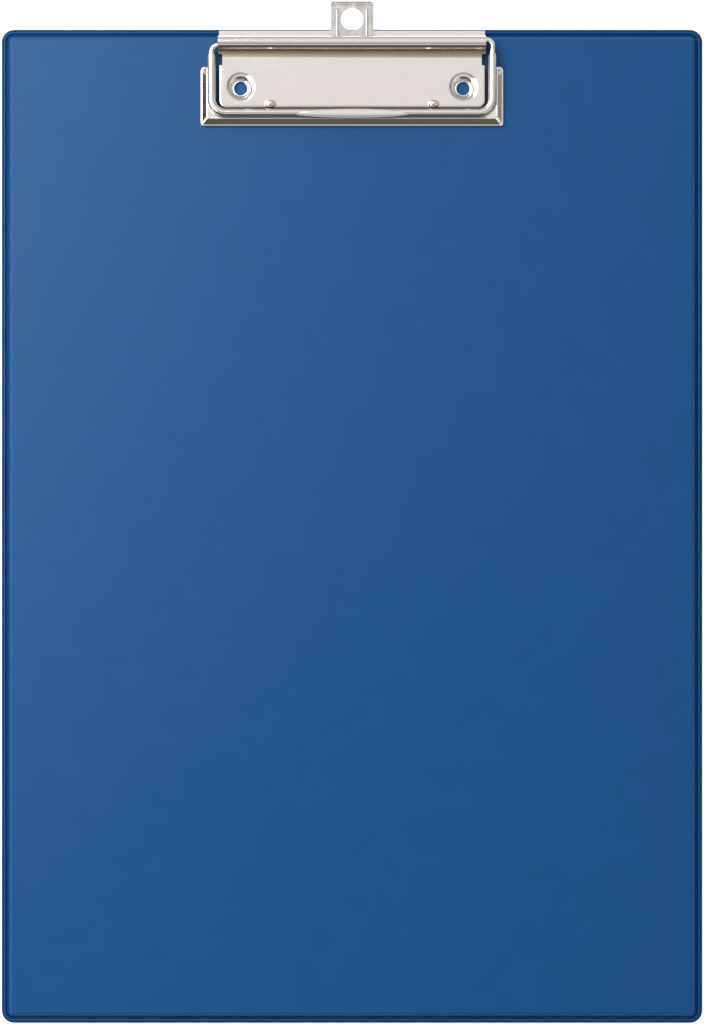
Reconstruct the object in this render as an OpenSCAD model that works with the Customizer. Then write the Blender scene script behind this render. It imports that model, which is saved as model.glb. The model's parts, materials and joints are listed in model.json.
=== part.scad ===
// A4 clipboard with a wire-spring clip and a pull-out hanging loop.
// The board lies flat: X is its width, +Y points to the clip's end and +Z out of the front face.
// The origin is the middle of the back face.

/* [Board] */
// Width of the board over its welded rim
board_w = 225; // [180:1:260]
// Length of the board over its welded rim
board_l = 319; // [220:1:380]
// Radius of the board's corners in plan
board_corner_r = 4; // [3.7:0.1:12]
// Thickness of the greyboard core
core_t = 2; // [1.4:0.1:3]
// Thickness of each cover film
film_t = 0.25; // [0.15:0.05:0.4]
// Width of the rounded bead outside the weld
rim_bead_w = 1.2; // [0.8:0.1:1.5]
// Height of that bead above the back cover
rim_bead_h = 0.65; // [0.5:0.05:1]
// Width of the pressed weld line
weld_w = 0.5; // [0.3:0.1:0.8]
// Width of the film's slope from the weld line up to the face
slope_w = 1.8; // [1.3:0.1:2.1]

/* [Spring wire] */
// Diameter of the wire
wire_d = 1.7; // [1.3:0.1:2]
// Gap between the two bars that lie side by side in the spine
bar_gap = 0.1; // [0.05:0.05:0.2]
// Distance from each bar's free end to the end of the spine
bar_end_gap = 1.5; // [0.5:0.5:8]
// Radius of the wire's bends outside the spine, on its centreline
rear_bend_r = 1.95; // [1.4:0.05:2.1]
// Radius of the wire's front corners, on its centreline
front_bend_r = 4.5; // [3.5:0.5:9]

/* [Base plate] */
// Thickness of the base plate's sheet
plate_t = 0.45; // [0.3:0.05:0.6]
// Width of the base plate, which is the length of its spine
plate_w = 85; // [70:1:120]
// Distance from the hinge axis forward to the plate's front face
plate_reach = 20.5; // [18:0.5:30]
// Length of the rear flange behind the spine
flange_l = 2.4; // [1.5:0.1:5]
// Distance from the board's top edge to the rear flange
clip_inset = 1.1; // [0.5:0.1:10]
// Height of the hinge axis above the board's face
axis_h = 2.65; // [2.6:0.05:3.4]
// Height of the raised panel above the board's face
panel_h = 2.3; // [2:0.1:2.6]
// Radius of the hollow between the spine and the panel
hollow_r = 2.6; // [1.5:0.1:4]
// Width of the relief notch at each rear corner of the panel
notch_w = 1.2; // [0.6:0.1:2]
// Length of that notch along the plate's side
notch_l = 2.6; // [1.5:0.1:4]
// Distance from the plate's sides in to the front lugs
lug_inset = 16.5; // [13:0.5:30]
// Width of each front lug
lug_w = 3; // [2.2:0.2:4]
// Length of each front lug
lug_l = 2.2; // [1.2:0.2:3]

/* [Rivets] */
// Distance from the plate's sides in to the rivets
rivet_inset = 7; // [6.2:0.1:12]
// Distance from the plate's front face back to the rivets
rivet_setback = 6.6; // [6:0.2:8]
// Outer diameter of a rivet's barrel
barrel_d = 4.7; // [4:0.1:5]
// Wall of a rivet's barrel
barrel_wall = 0.3; // [0.2:0.05:0.4]
// Diameter of the flared rim on the front
flare_d = 5.2; // [5.1:0.1:5.6]
// Height of the flared rim above the dish
flare_h = 0.3; // [0.2:0.05:0.4]
// Diameter of a rivet's head in the back
head_d = 8; // [6.5:0.5:9]
// Thickness of a rivet's head
head_t = 0.6; // [0.45:0.05:0.8]
// Diameter of the dish round each rivet, at the panel
dish_d = 9.2; // [8.6:0.2:10]
// Diameter of the dish's flat floor
dish_floor_d = 6.4; // [6:0.1:7]

/* [Jaw frame] */
// Thickness of the jaw's sheet
jaw_t = 0.4; // [0.3:0.05:0.5]
// Distance from the wire's centreline out to the jaw's outer edge
jaw_skirt = 3.65; // [3.5:0.05:5]
// Gap between the jaw's bead and the sides of the base plate
jaw_side_gap = 0.85; // [0.5:0.05:2]
// Gap between the jaw's bead and the front of the base plate
jaw_front_gap = 0.4; // [0.3:0.05:2]
// Gap under the jaw when it is shut
jaw_rest_gap = 0.3; // [0.2:0.05:0.4]
// Height of the jaw's ridge above the board's face
ridge_h = 2.3; // [2:0.1:2.6]
// Distance from the hinge axis forward to the rear end of the jaw's skirt
skirt_start = 7; // [6:0.5:10]
// Distance from the hinge axis forward to the rear end of the jaw's bead
bead_start = 3.7; // [3.2:0.1:5]
// Length of the finger lip
lip_l = 37; // [20:1:50]
// Distance that the finger lip stands out from the wire's centreline
lip_reach = 2.1; // [1.6:0.1:2.6]

/* [Hanging loop] */
// Width of the loop
loop_w = 13.6; // [12.6:0.2:16]
// Thickness of the loop's sheet
loop_t = 0.4; // [0.3:0.05:0.45]
// Distance that the loop stands out past the board's top edge
loop_out = 8.3; // [7.5:0.1:12]
// Diameter of the hanging hole
loop_hole_d = 7.2; // [5:0.2:7.4]
// Distance from the loop's outer end to the middle of the hole
loop_hole_setback = 5.85; // [5.3:0.05:6.5]
// Distance from the middle of the loop to each rib
rib_x = 4.75; // [4.3:0.05:5.4]
// Height of each rib
rib_h = 0.25; // [0.1:0.05:0.3]
// Depth of the folded end
fold_l = 1.6; // [1:0.1:1.8]
// Height of the folded end over the underside of the loop
fold_h = 1; // [0.95:0.05:1.3]
// Extra width of the root on each side, where the loop enters the spine
root_extra = 1; // [0.4:0.1:2]
// Width of the foot that stops the loop inside the spine
foot_w = 22; // [20:1:30]
// Length of that foot
foot_l = 4.5; // [2:0.5:6]

/* [Hidden] */
$fn = 64;

FILM = "#2b5f98";
NICKEL = "#d5d0ca";
GREYBOARD = "#a39c90";

fit_gap = 0.05;      // between pieces that are set tight into each other
slide_gap = 0.1;     // under and behind the loop
slot_gap = 0.25;     // beside the loop in its slot
core_gap = 0.1;      // between the core's edge and the film's slope
eps = 0.01;          // overlap of cuts and joined shapes
dish_overlap = 0.3;  // how far a dish's rim runs on under the panel

// Levels
face_z = core_t + 2 * film_t;
axis_z = face_z + axis_h;
panel_z = face_z + panel_h;

// Board edge
edge_w = rim_bead_w + weld_w + slope_w;
shoulder_w = slope_w / 2;
shoulder_drop = 0.35;
rim_chamfer = 0.3;
core_inset = edge_w + core_gap;
core_corner_r = 1;

// Spine and hinge axis
bar_offset = (wire_d + bar_gap) / 2;
spine_bore_r = bar_offset + wire_d / 2 + fit_gap;
spine_r = spine_bore_r + plate_t;
axis_y = board_l / 2 - clip_inset - flange_l - spine_r;
wall_y = axis_y + spine_r;
front_y = axis_y - plate_reach;

// The hollow's circle is tangent to the spine outside and to the panel above
hollow_angle = asin((panel_h + hollow_r - axis_h) / (spine_r + hollow_r));
hollow_dx = (spine_r + hollow_r) * cos(hollow_angle);

// Outer radius of the bend at the panel's edge
edge_bend_r = plate_t + 0.3;
edge_flat_w = 0.3;

// Rivets and lugs
rivet_span = plate_w - 2 * rivet_inset;
lug_span = plate_w - 2 * lug_inset;
rivet_y = front_y + rivet_setback;
slug_r = barrel_d / 2 - barrel_wall - fit_gap;
barrel_hole_r = barrel_d / 2 + fit_gap;
barrel_top = face_z + plate_t;

// Jaw, and the plate's front corners, which keep clear of its bead
bead_bore_r = wire_d / 2 + fit_gap;
bead_r = bead_bore_r + jaw_t;
plate_corner_r = front_bend_r - bead_r - max(jaw_side_gap, jaw_front_gap);
leg_x = plate_w / 2 + jaw_side_gap + bead_r;
run_y = front_y - jaw_front_gap - bead_r;
jaw_half_w = leg_x + jaw_skirt;
jaw_front_y = run_y - jaw_skirt;
skirt_rear_y = axis_y - skirt_start;
seam_w = 0.25;
lip_base_w = 0.4;
bevel_w = 0.9;
ridge_w = 0.4;
ridge_fall = 0.3;
skirt_w = lip_base_w + jaw_t / 2 + bevel_w + ridge_w + ridge_fall * 2;
jaw_foot_h = jaw_rest_gap + jaw_t / 2;
ridge_mid_h = ridge_h - jaw_t / 2;
bevel_lean = bevel_w / (ridge_mid_h - jaw_foot_h);
web_h = ridge_mid_h - ridge_fall;

// Hanging loop
loop_z = face_z + plate_t + slide_gap;
loop_end_y = board_l / 2 + loop_out;
loop_hole_y = loop_end_y - loop_hole_setback;
foot_y = axis_y + spine_bore_r - slide_gap;
root_w = loop_w + 2 * root_extra;
root_l = 1.5;
slot_w = root_w + 2 * slot_gap;
slot_top = loop_z + loop_t + rib_h + slide_gap;
rib_w = 1;
rib_end_gap = 0.9;
loop_corner = 0.7;

// --- Shared shapes -------------------------------------------------------------------------

// A rectangle with round corners, centred
module round_rectangle(w, l, r) {
    square([w - 2 * r, l], center = true);
    square([w, l - 2 * r], center = true);
    for (x = [-1, 1], y = [-1, 1])
        translate([x * (w / 2 - r), y * (l / 2 - r)]) circle(r);
}

// Carries a section round a rounded rectangle; the section's x runs inwards from the outline
module round_the_edge(w, l, r) {
    for (turn = [0, 180]) rotate(turn) {
        translate([w / 2, 0, 0]) rotate([90, 0, 0])
            linear_extrude(l - 2 * r, center = true) mirror([1, 0]) children();
        translate([0, l / 2, 0]) rotate([90, 0, 90])
            linear_extrude(w - 2 * r, center = true) mirror([1, 0]) children();
        translate([w / 2 - r, l / 2 - r, 0])
            rotate_extrude(angle = 90) translate([r, 0]) mirror([1, 0]) children();
        translate([r - w / 2, l / 2 - r, 0])
            rotate([0, 0, 90]) rotate_extrude(angle = 90) translate([r, 0]) mirror([1, 0]) children();
    }
}

// Part of a flat ring between two angles
module ring_arc(r_in, r_out, from, to) {
    steps = 6;
    intersection() {
        difference() {
            circle(r_out);
            circle(r_in);
        }
        polygon(concat([[0, 0]], [for (i = [0:steps])
            let (a = from + (to - from) * i / steps) 2 * r_out * [cos(a), sin(a)]]));
    }
}

// A bent strip of sheet, given by the points along its middle, with round joints
module strip(points, t) {
    for (i = [1:len(points) - 1]) {
        step = points[i] - points[i - 1];
        translate(points[i - 1]) rotate(atan2(step[1], step[0]))
            translate([0, -t / 2]) square([norm(step), t]);
    }
    for (p = points) translate(p) circle(t / 2);
}

// Extrudes a section that is drawn in Y and Z along X, centred
module along_x(length) {
    rotate([90, 0, 90]) linear_extrude(length, center = true) children();
}

// Both rivet places
module at_rivet(side) {
    translate([side * rivet_span / 2, rivet_y, 0]) children();
}

// --- Board ---------------------------------------------------------------------------------

// The annular cuts that the rivets' barrels make, with the slug left inside
module barrel_cut(bottom, top) {
    translate([0, 0, bottom]) difference() {
        cylinder(r = barrel_hole_r, h = top - bottom);
        translate([0, 0, -eps]) cylinder(r = slug_r, h = top - bottom + 2 * eps);
    }
}

module board_core() color(GREYBOARD) difference() {
    translate([0, 0, film_t]) linear_extrude(core_t)
        round_rectangle(board_w - 2 * core_inset, board_l - 2 * core_inset, core_corner_r);
    for (side = [-1, 1]) at_rivet(side) {
        translate([0, 0, -eps]) cylinder(r = head_d / 2 + fit_gap, h = head_t + fit_gap + eps);
        barrel_cut(0, face_z);
    }
}

module film_edge_section() {
    weld_in = rim_bead_w + weld_w;
    bead_top = film_t + rim_bead_h;
    polygon([
        [0, film_t],
        [0, bead_top - rim_chamfer],
        [rim_chamfer, bead_top],
        [rim_bead_w - rim_chamfer, bead_top],
        [rim_bead_w, 2 * film_t],
        [weld_in, 2 * film_t],
        [edge_w - shoulder_w, face_z - shoulder_drop],
        [edge_w, face_z],
        [edge_w, face_z - film_t],
        [edge_w - shoulder_w + film_t, face_z - shoulder_drop - film_t],
        [weld_in + film_t, film_t]
    ]);
}

module front_cover() color(FILM) difference() {
    union() {
        translate([0, 0, face_z - film_t]) linear_extrude(film_t)
            round_rectangle(board_w - 2 * edge_w, board_l - 2 * edge_w, board_corner_r - edge_w);
        round_the_edge(board_w, board_l, board_corner_r) film_edge_section();
    }
    for (side = [-1, 1]) at_rivet(side) barrel_cut(face_z - film_t - eps, face_z + eps);
}

module back_cover() color(FILM) difference() {
    linear_extrude(film_t) round_rectangle(board_w, board_l, board_corner_r);
    for (side = [-1, 1]) at_rivet(side)
        translate([0, 0, -eps]) cylinder(r = head_d / 2 + fit_gap, h = film_t + 2 * eps);
}

// --- Base plate ----------------------------------------------------------------------------

// The plate's section across the clip, in Y and Z, with the hinge axis at the origin
module plate_section() {
    board_level = -axis_h;
    panel_level = panel_h - axis_h;
    // Rear flange and the spine's rear wall
    translate([spine_bore_r, board_level]) square([plate_t + flange_l, plate_t]);
    translate([spine_bore_r, board_level]) square([plate_t, axis_h]);
    // The spine's roll and the hollow in front of it
    join_angle = 1;
    ring_arc(spine_bore_r, spine_r, 0, 180 - hollow_angle + join_angle);
    translate([-hollow_dx, panel_level + hollow_r])
        ring_arc(hollow_r, hollow_r + plate_t, -90 - join_angle, -hollow_angle + join_angle);
}

// The panel's edge where it is turned down to the board; x runs inwards from the plate's outside
module turned_edge_section() {
    square([plate_t, panel_h - edge_bend_r]);
    translate([edge_bend_r, panel_h - edge_bend_r]) ring_arc(edge_bend_r - plate_t, edge_bend_r, 90, 180);
    translate([edge_bend_r, panel_h - plate_t]) square([edge_flat_w, plate_t]);
}

// The raised panel with its front and sides turned down
module panel() {
    side_l = plate_reach - hollow_dx - notch_l - plate_corner_r;
    flat_w = plate_w - 2 * plate_corner_r;
    inset = edge_bend_r + edge_flat_w / 2;
    translate([0, front_y, face_z]) {
        rotate([90, 0, 90]) linear_extrude(flat_w, center = true) turned_edge_section();
        for (side = [0, 1]) mirror([side, 0, 0]) {
            translate([plate_w / 2, plate_corner_r + side_l, 0]) rotate([90, 0, 0])
                linear_extrude(side_l) mirror([1, 0]) turned_edge_section();
            translate([flat_w / 2, plate_corner_r, 0]) rotate([0, 0, -90]) rotate_extrude(angle = 90)
                translate([plate_corner_r, 0]) mirror([1, 0]) turned_edge_section();
        }
        translate([0, 0, panel_h - plate_t]) linear_extrude(plate_t) {
            translate([inset - plate_w / 2, plate_corner_r]) square([plate_w - 2 * inset, side_l]);
            translate([-flat_w / 2, inset]) square([flat_w, plate_corner_r]);
            for (side = [-1, 1])
                translate([side * flat_w / 2, plate_corner_r]) circle(plate_corner_r - inset);
            translate([notch_w - plate_w / 2, plate_corner_r + side_l - eps])
                square([plate_w - 2 * notch_w, notch_l + 2 * eps]);
        }
    }
}

// The dish's section from its middle outwards
module dish_section() {
    rim_r = dish_d / 2;
    floor_r = dish_floor_d / 2;
    bend = plate_t / 3;
    polygon([
        [barrel_hole_r, 0],
        [floor_r - bend, 0],
        [rim_r - bend, panel_h - plate_t],
        [rim_r + dish_overlap, panel_h - plate_t],
        [rim_r + dish_overlap, panel_h],
        [rim_r, panel_h],
        [floor_r, plate_t],
        [barrel_hole_r, plate_t]
    ]);
}

module front_lug() {
    r = lug_w / 2;
    intersection() {
        rotate([90, 0, 0]) translate([0, 0, -lug_l]) difference() {
            cylinder(r = r, h = lug_l);
            translate([0, 0, -eps]) cylinder(r = r - plate_t, h = lug_l + 2 * eps);
        }
        translate([-lug_w, -eps, -plate_t]) cube([2 * lug_w, lug_l + 2 * eps, lug_w]);
    }
}

module base_plate() color(NICKEL) {
    difference() {
        union() {
            translate([0, axis_y, axis_z]) along_x(plate_w) plate_section();
            panel();
        }
        // The loop's slot through the spine's rear wall
        translate([0, wall_y - plate_t / 2, (face_z + plate_t + slot_top) / 2])
            cube([slot_w, 3 * plate_t, slot_top - face_z - plate_t], center = true);
        for (side = [-1, 1]) at_rivet(side)
            translate([0, 0, face_z + plate_t / 2]) cylinder(r = (dish_d + dish_overlap) / 2, h = panel_h);
    }
    for (side = [-1, 1]) at_rivet(side) translate([0, 0, face_z]) rotate_extrude() dish_section();
    for (side = [-1, 1]) translate([side * lug_span / 2, front_y, panel_z]) front_lug();
}

// --- Rivets --------------------------------------------------------------------------------

module rivet(side) color(NICKEL) at_rivet(side) {
    barrel_r = barrel_d / 2;
    difference() {
        union() {
            cylinder(r = head_d / 2, h = head_t);
            cylinder(r = barrel_r, h = barrel_top + flare_h);
            translate([0, 0, barrel_top]) cylinder(r1 = flare_d / 2, r2 = barrel_r, h = flare_h);
        }
        translate([0, 0, head_t]) cylinder(r = barrel_r - barrel_wall, h = face_z + plate_t);
    }
}

// --- Wire and jaw --------------------------------------------------------------------------

// Carries a section along the wire's legs, front corners and front run, at the hinge's height;
// the section's x points away from the clip. The legs start at the given distances from the axis.
module along_jaw(left_start, right_start) {
    corner_y = run_y + front_bend_r;
    for (leg = [[-1, left_start], [1, right_start]]) {
        start_y = axis_y - leg[1];
        mirror([leg[0] < 0 ? 1 : 0, 0, 0]) {
            translate([leg_x, start_y, axis_z]) rotate([90, 0, 0])
                linear_extrude(start_y - corner_y) children();
            translate([leg_x - front_bend_r, corner_y, axis_z]) rotate([0, 0, -90])
                rotate_extrude(angle = 90) translate([front_bend_r, 0]) children();
        }
    }
    translate([0, run_y, axis_z]) along_x(2 * (leg_x - front_bend_r)) mirror([1, 0]) children();
}

// One bar in the spine with the bend that joins it to its leg, on the right-hand side
module spine_bar(offset_y) {
    bend_x = leg_x - rear_bend_r;
    end_x = bar_end_gap - plate_w / 2;
    translate([end_x, axis_y + offset_y, axis_z]) rotate([0, 90, 0])
        cylinder(d = wire_d, h = bend_x - end_x);
    translate([bend_x, axis_y + offset_y - rear_bend_r, axis_z])
        rotate_extrude(angle = 90) translate([rear_bend_r, 0]) circle(d = wire_d);
}

module spring_wire() color(NICKEL) {
    along_jaw(rear_bend_r + bar_offset, rear_bend_r - bar_offset) circle(d = wire_d);
    spine_bar(bar_offset);
    mirror([1, 0, 0]) spine_bar(-bar_offset);
}

// The middle of the jaw's sheet from its foot over the bevel and ridge down to the web
function skirt_line() = let (
    foot_x = jaw_t / 2,
    bevel_x = foot_x + lip_base_w,
    crest_x = bevel_x + bevel_w,
    web_x = crest_x + ridge_w + ridge_fall
) [
    [foot_x, jaw_foot_h],
    [bevel_x, jaw_foot_h],
    [crest_x, ridge_mid_h],
    [crest_x + ridge_w, ridge_mid_h],
    [web_x, web_h],
    [web_x + ridge_fall, web_h]
];

// Cuts a run of the skirt to length, with a mitre at its start; X is along it and Y inwards
module mitre_start(length, depth) {
    linear_extrude(2 * ridge_h) polygon([[0, 0], [length, 0], [length, depth], [depth, depth]]);
}

// The skirt of the front, mitred at both ends, its outer edge at Y = 0
module front_skirt() {
    intersection() {
        along_x(2 * jaw_half_w) strip(skirt_line(), jaw_t);
        translate([-jaw_half_w, 0, 0]) mitre_start(2 * jaw_half_w, skirt_w + jaw_t);
        translate([jaw_half_w, 0, 0]) mirror([1, 0, 0]) mitre_start(2 * jaw_half_w, skirt_w + jaw_t);
    }
}

// The skirt of one arm from the front corner back, closed by a wall that slopes like the bevel
module arm_skirt(length) {
    top = 2 * ridge_h;
    lean = bevel_lean * top;
    wall = norm([1, bevel_lean]) * jaw_t;
    margin = 1;
    intersection() {
        translate([length / 2, 0, 0]) along_x(length) strip(skirt_line(), jaw_t);
        mitre_start(length, skirt_w + jaw_t);
        translate([0, jaw_skirt + margin, 0]) rotate([90, 0, 0])
            linear_extrude(jaw_skirt + 2 * margin)
                polygon([[-margin, -margin], [length, 0], [length - lean, top], [-margin, top]]);
    }
    intersection() {
        translate([length / 2, 0, 0]) along_x(length)
            polygon(concat([[0, jaw_foot_h]], skirt_line(),
                [[jaw_skirt, web_h], [jaw_skirt, jaw_rest_gap], [jaw_t / 2, jaw_rest_gap]]));
        translate([0, jaw_skirt + margin, 0]) rotate([90, 0, 0])
            linear_extrude(jaw_skirt + 2 * margin)
                polygon([[length - wall, 0], [length, 0], [length - lean, top], [length - lean - wall, top]]);
    }
}

// The web between the ridge and the bead, in plan
module web_plan() {
    outer_w = 2 * (jaw_half_w - skirt_w);
    outer_front = jaw_front_y + skirt_w;
    outer_rear = skirt_rear_y - bevel_lean * web_h - jaw_t;
    difference() {
        translate([-outer_w / 2, outer_front]) square([outer_w, outer_rear - outer_front]);
        translate([0, run_y + plate_reach]) round_rectangle(2 * leg_x, 2 * plate_reach, front_bend_r);
    }
}

// The finger lip: a tongue over the bead whose outer edge is an arc in plan
module finger_lip() {
    sagitta = lip_reach + bead_r;
    arc_r = (pow(lip_l / 2, 2) + sagitta * sagitta) / (2 * sagitta);
    root_r = 0.7 * bead_r;
    rise = 0.3 * jaw_t;
    intersection() {
        translate([0, run_y, axis_z]) along_x(lip_l) mirror([1, 0]) polygon([
            [-root_r, root_r],
            [-bead_r / 2, bead_r],
            [bead_r / 4, bead_r + rise],
            [lip_reach, bead_r + rise + jaw_t],
            [lip_reach, bead_r + rise],
            [root_r, root_r]
        ]);
        translate([0, run_y + arc_r - lip_reach, axis_z]) cylinder(r = arc_r, h = 2 * bead_r, $fn = 256);
    }
}

module jaw_frame() color(NICKEL) difference() {
    union() {
        translate([0, jaw_front_y, face_z]) front_skirt();
        for (side = [0, 1]) mirror([side, 0, 0])
            translate([jaw_half_w, jaw_front_y, face_z]) rotate([0, 0, 90])
                arm_skirt(skirt_rear_y - jaw_front_y);
        translate([0, 0, face_z + web_h - jaw_t / 2]) linear_extrude(jaw_t) web_plan();
        along_jaw(bead_start, bead_start) circle(bead_r);
        finger_lip();
    }
    // Room for the wire, and the seam under it where the rolled sheet ends
    along_jaw(bead_start - 1, bead_start - 1) {
        circle(bead_bore_r);
        translate([-seam_w / 2, -2 * bead_r]) square([seam_w, 2 * bead_r]);
    }
}

// --- Hanging loop --------------------------------------------------------------------------

module loop_plan() {
    root_y = foot_y + root_l;
    difference() {
        union() {
            translate([-loop_w / 2, root_y]) square([loop_w, loop_end_y - root_y]);
            translate([-root_w / 2, foot_y - eps]) square([root_w, root_l + eps]);
            polygon([
                [-root_w / 2, root_y],
                [-loop_w / 2, root_y + root_extra],
                [loop_w / 2, root_y + root_extra],
                [root_w / 2, root_y]
            ]);
            translate([-foot_w / 2, foot_y - foot_l]) square([foot_w, foot_l]);
        }
        for (side = [-1, 1]) translate([side * loop_w / 2, loop_end_y])
            rotate(45) square(loop_corner * sqrt(2), center = true);
        translate([0, loop_hole_y]) circle(d = loop_hole_d);
    }
}

module hanging_loop() color(NICKEL) {
    fold_r = fold_h / 2;
    rib_rear_y = loop_end_y - fold_l - rib_end_gap;
    translate([0, 0, loop_z]) {
        linear_extrude(loop_t) loop_plan();
        // The outer end is folded back on itself
        translate([0, loop_end_y - fold_r, fold_r]) rotate([0, 90, 0])
            cylinder(r = fold_r, h = loop_w - 2 * loop_corner, center = true);
        translate([loop_corner - loop_w / 2, loop_end_y - fold_l, 0])
            cube([loop_w - 2 * loop_corner, fold_l - fold_r, fold_h]);
        for (side = [-1, 1])
            translate([side * rib_x, (rib_rear_y + foot_y) / 2, loop_t]) rotate([90, 0, 0])
                linear_extrude(rib_rear_y - foot_y, center = true) polygon([
                    [-rib_w / 2, -eps],
                    [-rib_w / 4, rib_h],
                    [rib_w / 4, rib_h],
                    [rib_w / 2, -eps]
                ]);
    }
}

board_core();
front_cover();
back_cover();
base_plate();
rivet(-1);  // rivet_left
rivet(1);  // rivet_right
spring_wire();
jaw_frame();
hanging_loop();
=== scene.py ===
"""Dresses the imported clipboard: film-covered board, plated wire-spring clip and hanging loop."""

import json
import math

import bmesh
import bpy
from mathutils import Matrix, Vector


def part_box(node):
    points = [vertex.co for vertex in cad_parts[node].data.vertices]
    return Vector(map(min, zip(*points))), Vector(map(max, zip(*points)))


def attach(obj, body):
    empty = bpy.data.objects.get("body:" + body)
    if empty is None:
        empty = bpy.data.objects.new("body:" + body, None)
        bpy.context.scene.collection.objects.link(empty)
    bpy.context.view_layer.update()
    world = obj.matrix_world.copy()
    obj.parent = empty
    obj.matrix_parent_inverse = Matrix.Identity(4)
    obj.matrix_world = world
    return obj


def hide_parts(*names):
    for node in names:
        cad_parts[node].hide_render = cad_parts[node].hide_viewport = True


bl_info = {
    "name": "Clipboard",
    "version": (1, 0, 0),
    "blender": (4, 5, 0),
    "location": "3D View > Sidebar > Clipboard",
    "description": "Models the clipboard's pieces, their finishes and the studio",
    "category": "Object",
}

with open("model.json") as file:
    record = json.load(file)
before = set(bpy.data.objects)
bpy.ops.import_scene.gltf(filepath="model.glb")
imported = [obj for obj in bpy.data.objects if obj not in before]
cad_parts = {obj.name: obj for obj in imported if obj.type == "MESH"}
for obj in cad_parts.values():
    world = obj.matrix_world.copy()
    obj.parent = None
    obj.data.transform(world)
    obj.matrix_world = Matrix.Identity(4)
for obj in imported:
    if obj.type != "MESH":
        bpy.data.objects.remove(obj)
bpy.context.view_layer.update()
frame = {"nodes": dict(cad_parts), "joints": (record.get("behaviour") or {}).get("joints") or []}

MM = 0.001

# Places read from the frame
BOARD_LOW, BOARD_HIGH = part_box("front_cover")
BACK_LOW, BACK_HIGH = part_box("back_cover")
PLATE_LOW, PLATE_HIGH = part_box("base_plate")
WIRE_LOW, WIRE_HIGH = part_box("spring_wire")
JAW_LOW, JAW_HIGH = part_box("jaw_frame")
LOOP_LOW, LOOP_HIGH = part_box("hanging_loop")
RIVET_LOW, RIVET_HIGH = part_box("rivet_right")
HINGE = Vector(next(j["pos_m"] for j in frame["joints"] if j["name"] == "jaw_hinge"))

BOARD_W = BOARD_HIGH.x - BOARD_LOW.x
BOARD_L = BOARD_HIGH.y - BOARD_LOW.y
FACE_Z = BOARD_HIGH.z
RIVET_X = (RIVET_LOW.x + RIVET_HIGH.x) / 2
RIVET_Y = (RIVET_LOW.y + RIVET_HIGH.y) / 2


# --- Modelling, as by hand -----------------------------------------------------------------

def clear_selection():
    """Leaves edit mode and deselects everything."""
    if bpy.context.object and bpy.context.object.mode != "OBJECT":
        bpy.ops.object.mode_set(mode="OBJECT")
    bpy.ops.object.select_all(action="DESELECT")


def edit(name):
    """Names the object that was just added and goes into edit mode with all of it selected."""
    obj = bpy.context.object
    obj.name = name
    obj.data.name = name
    bpy.ops.object.transform_apply(location=True, rotation=True, scale=True)
    bpy.ops.object.mode_set(mode="EDIT")
    bpy.ops.mesh.select_all(action="SELECT")
    return obj


def leave_edit():
    """Goes back to object mode, which writes the edited shape into the mesh."""
    bpy.ops.object.mode_set(mode="OBJECT")
    return bpy.context.object


def add_sheet(name, place, width, length):
    """A new flat sheet, in edit mode."""
    clear_selection()
    bpy.ops.mesh.primitive_plane_add(size=1, location=place)
    bpy.context.object.scale = (width, length, 1)
    return edit(name)


def add_block(name, place, size):
    """A new block, in edit mode."""
    clear_selection()
    bpy.ops.mesh.primitive_cube_add(size=1, location=place)
    bpy.context.object.scale = size
    return edit(name)


def add_ball(name, place, half, segments, rings):
    """A new ball in edit mode, squashed to half sizes along X, Y and Z."""
    clear_selection()
    bpy.ops.mesh.primitive_uv_sphere_add(segments=segments, ring_count=rings, radius=1, location=place)
    bpy.context.object.scale = half
    return edit(name)


def pick(kind, test):
    """Selects the vertices, edges or faces of the edited mesh that pass the test, and counts them."""
    obj = bpy.context.object
    bpy.ops.mesh.select_mode(type=kind)
    bpy.ops.mesh.select_all(action="DESELECT")
    bm = bmesh.from_edit_mesh(obj.data)
    parts = {"VERT": bm.verts, "EDGE": bm.edges, "FACE": bm.faces}[kind]
    found = 0
    for part in parts:
        if test(part):
            part.select_set(True)
            found += 1
    bmesh.update_edit_mesh(obj.data)
    return found


def middle(edge):
    """The middle of an edge."""
    return (edge.verts[0].co + edge.verts[1].co) / 2


def near(a, b, reach=1e-6):
    """True if two lengths are the same."""
    return abs(a - b) < reach


def start_point(name, place):
    """A new edited mesh that is one vertex at a place, for drawing a section from."""
    clear_selection()
    bpy.ops.mesh.primitive_plane_add(size=MM)
    obj = edit(name)
    pick("VERT", lambda v: v.co.x > 0 or v.co.y > 0)
    bpy.ops.mesh.delete(type="VERT")
    pick("VERT", lambda v: True)
    bpy.ops.transform.translate(value=Vector(place) - Vector((-MM / 2, -MM / 2, 0)))
    return obj


def add_ring(radius, x, y, z, points=64):
    """Adds a circle of edges to the edited mesh."""
    bpy.ops.mesh.primitive_circle_add(vertices=points, radius=radius, location=(x, y, z), fill_type="NOTHING")


def draw_round(x, base, section):
    """Draws the selected ring, which is a section's first point, through the section's other points.

    The points are radius and height above the base in mm, round the rivet's axis at x."""
    for (r0, h0), (r1, h1) in zip(section, section[1:]):
        bpy.ops.mesh.extrude_edges_move()
        bpy.ops.transform.resize(
            value=(r1 / r0, r1 / r0, 1), center_override=(x, RIVET_Y, base + h0 * MM))
        bpy.ops.transform.translate(value=(0, 0, (h1 - h0) * MM))


def slide(step):
    """Extrudes the selected edges by a step."""
    bpy.ops.mesh.extrude_edges_move(TRANSFORM_OT_translate={"value": step})


def slide_points(step):
    """Extrudes the selected vertices by a step."""
    bpy.ops.mesh.extrude_vertices_move(TRANSFORM_OT_translate={"value": step})


def turn(degrees, centre, axis, steps):
    """Spins the selection by the right-hand rule; the operator itself goes the other way round."""
    bpy.ops.mesh.spin(steps=steps, angle=-math.radians(degrees), center=centre, axis=axis)


def merge(reach):
    """Merges the vertices of the edited mesh that lie on the same place, and leaves it all selected."""
    bpy.ops.mesh.select_all(action="SELECT")
    bpy.ops.mesh.remove_doubles(threshold=reach)


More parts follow.
